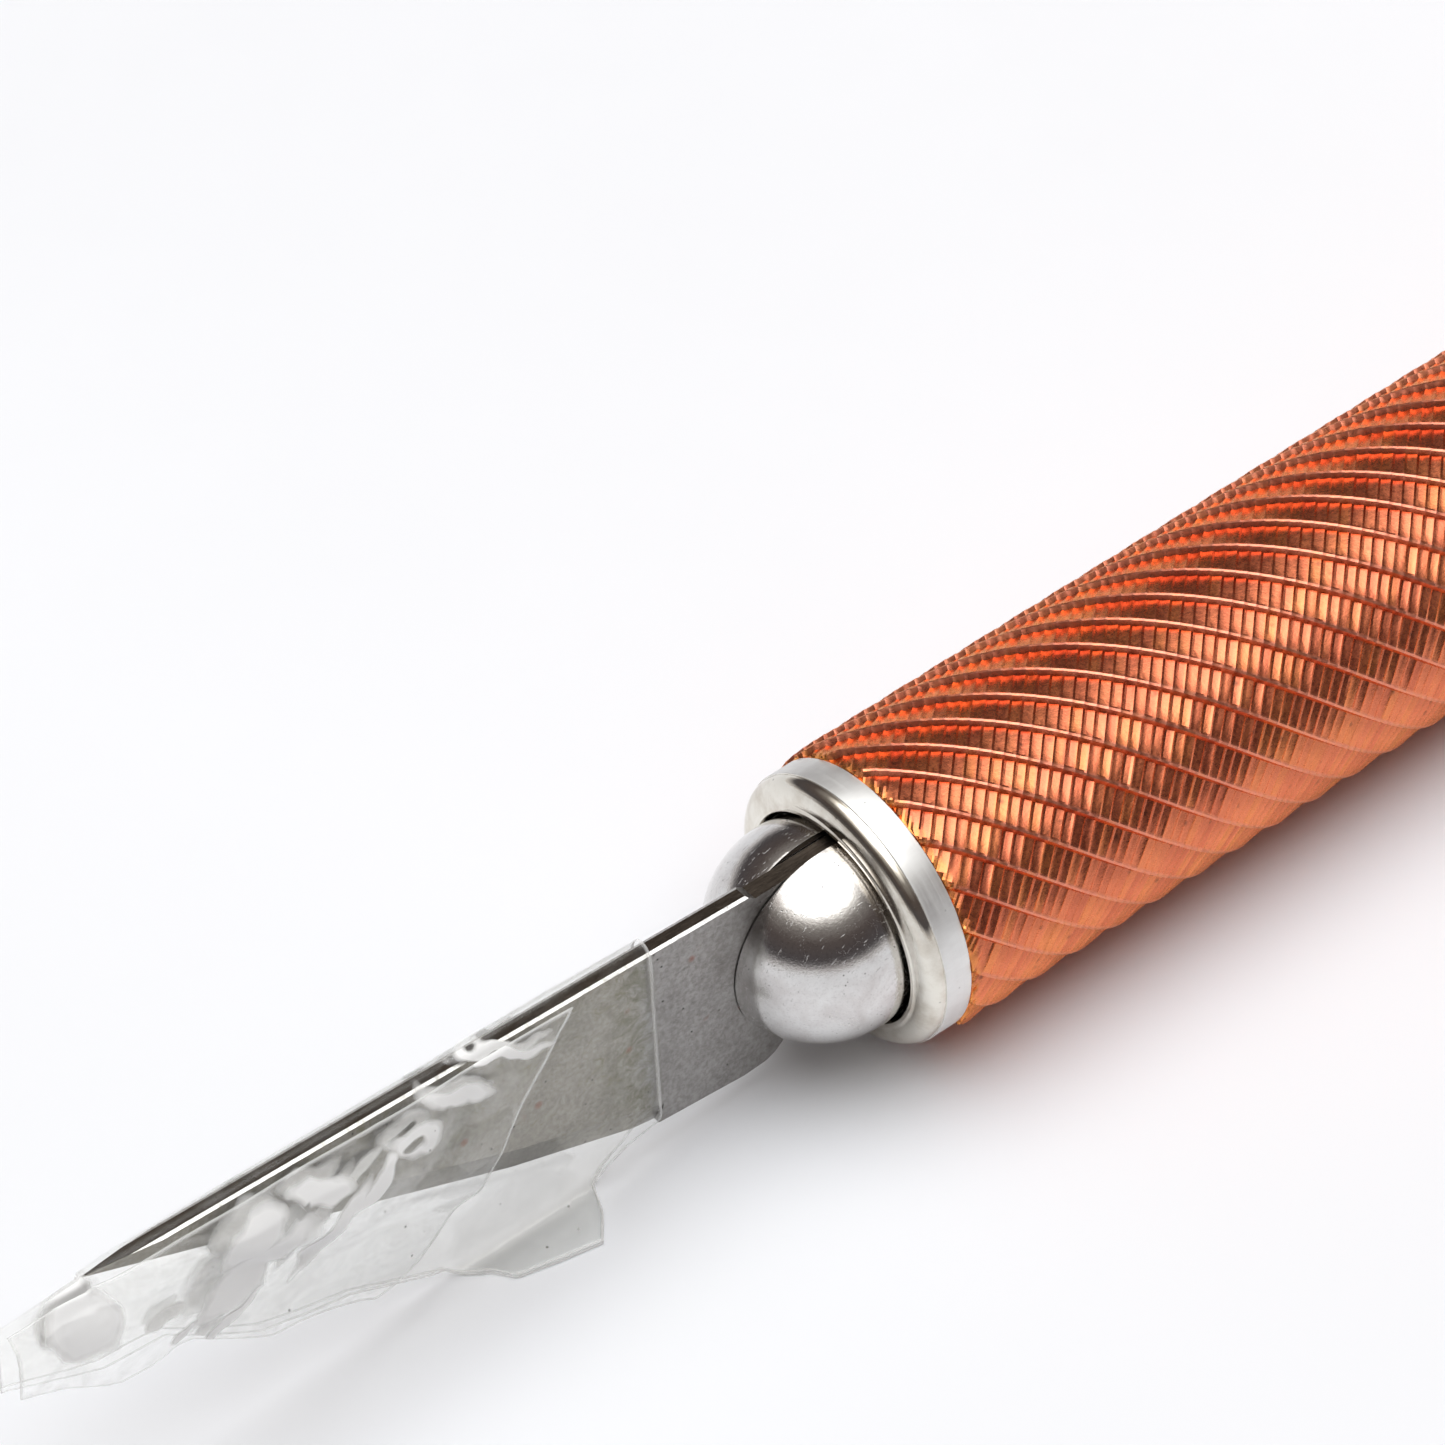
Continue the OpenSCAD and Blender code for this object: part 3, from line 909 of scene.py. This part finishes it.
def film_section(x, run, side, stand_off):
    """Points of one layer: run is the way down from the fold, stand_off the gap to the middle plane."""
    top = fold_line(x)[1]
    bend_r = 0.35
    floor_mid = FLOOR_Z + 0.1
    z = top - run
    bend_start = floor_mid + bend_r
    past = np.clip(bend_start - z, 0, None)
    angle = np.clip(past / bend_r, 0, math.pi / 2)
    beyond = np.clip(past - bend_r * math.pi / 2, 0, None)
    mid_y = -(bend_r * (1 - np.cos(angle)) + beyond)
    mid_z = np.where(past > 0, bend_start - bend_r * np.sin(angle), z)
    normal_y = side * np.cos(angle)
    normal_z = side * -np.sin(angle)
    return np.stack([x, mid_y + normal_y * stand_off, mid_z + normal_z * stand_off], axis=-1)


def half_gap(x, run, side, layer):
    """Half the gap between the two sides of the folded film."""
    fold, top = fold_line(x)
    z = top - run
    edge = on_line(x, CUTTING_EDGE)
    wide = BLADE_HALF + 0.05
    thick = np.where(x > TIP[0] - 0.3, wide, wide * np.clip(1 - (TIP[0] - 0.3 - x) / 2, 0.3, 1))
    below = np.clip((edge + 0.5 - z) / 1.1, 0, 1)
    gap = thick * (1 - below * below * (3 - 2 * below)) + 0.035
    round_top = np.sqrt(np.clip(1 - (1 - np.clip(run / (fold + 0.25), 0, 1)) ** 2, 0, 1))
    crease = crumple(x, run, side, layer) * np.clip(run / 0.8, 0, 1)
    return gap * round_top + np.clip(crease, 0, 0.6) * round_top


def film_shell(outer, inner, faces, points):
    """Adds a closed shell between two grids of points of the same shape."""
    rows, cols = outer.shape[:2]
    base = len(points)
    points.extend(outer.reshape(-1, 3).tolist())
    points.extend(inner.reshape(-1, 3).tolist())
    under = base + rows * cols
    for i in range(rows - 1):
        for k in range(cols - 1):
            a, b = base + i * cols + k, base + (i + 1) * cols + k
            faces.append((a, a + 1, b + 1, b))
            a, b = under + i * cols + k, under + (i + 1) * cols + k
            faces.append((a, b, b + 1, a + 1))
    rim = [(0, k) for k in range(cols)] + [(i, cols - 1) for i in range(1, rows)]
    rim += [(rows - 1, k) for k in range(cols - 2, -1, -1)] + [(i, 0) for i in range(rows - 2, 0, -1)]
    for (i, k), (i2, k2) in zip(rim, rim[1:] + rim[:1]):
        a, b = i * cols + k, i2 * cols + k2
        faces.append((base + b, base + a, under + a, under + b))


def rim_of(rows, cols):
    """1 along the border of a grid of points, 0 inside."""
    edge = np.zeros((rows, cols))
    edge[[0, -1], :] = 1
    edge[:, [0, -1]] = 1
    return edge


# Rear edge of the loose turn of tape: share of the way down from the fold, and x
LOOSE_EDGE = [(0.0, -9.4), (0.12, -10.4), (0.35, -11.9), (0.65, -13.7), (0.85, -14.9), (1.0, -16.4)]


def tape_film(material):
    """The tape: one strip folded over the blade, and a second, looser turn of it on the near side."""
    points, faces, loose, rim = [], [], [], []
    down = 84
    xs = np.linspace(tape_lo.x, tape_hi.x, 180)
    length = fold_line(xs)[1] - on_line(xs, LOWER_EDGE) + on_line(xs, FLAP_REACH)
    share = np.linspace(0, 1, down) ** 1.25
    grid_x = np.repeat(xs[:, None], down, axis=1)
    run = length[:, None] * share[None, :]
    sides = []
    for side in (-1, 1):
        gap = half_gap(grid_x, run, side, 0)
        sides.append((film_section(grid_x, run, side, gap + FILM_T), film_section(grid_x, run, side, gap)))
    outer = np.concatenate([sides[0][0][:, ::-1], sides[1][0][:, 1:]], axis=1)
    inner = np.concatenate([sides[0][1][:, ::-1], sides[1][1][:, 1:]], axis=1)
    inner[:, down - 1, 2] -= FILM_T
    film_shell(outer, inner, faces, points)
    loose += [0.0] * (2 * outer.shape[0] * outer.shape[1])
    rim += np.tile(rim_of(*outer.shape[:2]).ravel(), 2).tolist()

    rows, cols = 120, 70
    u = np.linspace(0, 1, rows)[:, None]
    v = np.linspace(0.05, 1, cols)[None, :]
    front = tape_lo.x + 0.25
    second_x = front + (on_line(v, LOOSE_EDGE) - front) * u
    second_run = (fold_line(second_x)[1] - on_line(second_x, LOWER_EDGE)) * (v - 0.02)
    lift = 0.1 + 0.16 * np.sin(math.pi * v) * np.clip(u * 6, 0, 1) + 0.1 * u ** 6
    gap = half_gap(second_x, second_run, -1, 0) + FILM_T + lift
    gap = gap + np.clip(crumple(second_x, second_run, -1, 1), 0, 0.55) * np.clip(v * 5, 0, 1)
    outer = film_section(second_x, second_run, -1, gap + FILM_T)
    inner = film_section(second_x, second_run, -1, gap)
    film_shell(outer, inner, faces, points)
    loose += [1.0] * (2 * rows * cols)
    rim += np.tile(rim_of(rows, cols).ravel(), 2).tolist()

    mesh = bpy.data.meshes.new("tape_film")
    mesh.from_pydata((np.asarray(points, float) * MM).tolist(), [], faces)
    mesh.flip_normals()
    # loose drives the milky haze; rim marks the film's border, where the material paints a highlight
    for name, values in (("loose", loose), ("rim", rim)):
        layer = mesh.attributes.new(name, "FLOAT", "POINT")
        layer.data.foreach_set("value", np.asarray(values, np.float32))
    return finish_piece("tape_film", mesh, material, 180)


# ---------------------------------------------------------------- put it together

place_camera()
build_world()

floor_mesh = bpy.data.meshes.new("table")
reach, drop = 1500, 0.01
floor_mesh.from_pydata(
    [(x * MM, y * MM, (FLOOR_Z - drop) * MM) for x, y in
     ((-reach, -reach), (reach, -reach), (reach, reach), (-reach, reach))], [], [(0, 1, 2, 3)])
floor = finish_piece("table", floor_mesh, floor_material())

bpy.context.scene.view_settings.view_transform = "Standard"

collar_mat = collar_material()
jaw_mat = polished_metal("collet_metal", (0.74, 0.73, 0.72), (0.50, 0.46, 0.45))
stem_mat = turned_metal("stem_metal", (0.66, 0.65, 0.64), (0.5, 0.49, 0.48), 0.3, 0.006)
copper_mat = copper_knurl_material()
barrel_mat = turned_metal("copper_satin", (0.80, 0.33, 0.19), (0.7, 0.26, 0.15), 0.3, 0.004, 0.6)
plug_mat = turned_metal("plug_metal", (0.78, 0.78, 0.78), (0.62, 0.61, 0.60), 0.22, 0.004)
brass_mat = turned_metal("brass", (0.78, 0.58, 0.27), (0.6, 0.42, 0.18), 0.28, 0.005)
pin_mat = turned_metal("pin_steel", (0.56, 0.55, 0.55), (0.4, 0.39, 0.38), 0.3, 0.004)
blade_mat = blade_material()
tape_mat = film_material()


def dress(node, material):
    """Gives a CAD node's object a new material."""
    CAD[node].data.materials.clear()
    CAD[node].data.materials.append(material)


for node, material in (
    ("blade", blade_mat),
    ("collet_stem", stem_mat),
    ("drive_pin", pin_mat),
    ("threaded_insert", brass_mat),
):
    dress(node, material)


def install(piece, body, slot, *nodes):
    """Puts a finished piece on its body, in place of the CAD nodes it stands for."""
    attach(piece, body)
    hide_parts(*nodes)
    return piece


install(knurled_grip(copper_mat), "grip", "copper_knurl", "knurled_grip")
install(collar(collar_mat), "grip", "collar_metal", "nose_collar")
install(collet_jaw("jaw_near", -1, jaw_mat), "jaw_left", "collet_metal", "collet_jaw_left")
install(collet_jaw("jaw_far", 1, jaw_mat), "jaw_right", "collet_metal", "collet_jaw_right")
install(washer(brass_mat), "handle", "brass", "thrust_washer")
install(barrel(barrel_mat), "handle", "copper_satin", "barrel")
install(end_plug(plug_mat), "handle", "plug_metal", "end_plug")
tape = install(tape_film(tape_mat), "blade", "clear_tape", "tape_guard")
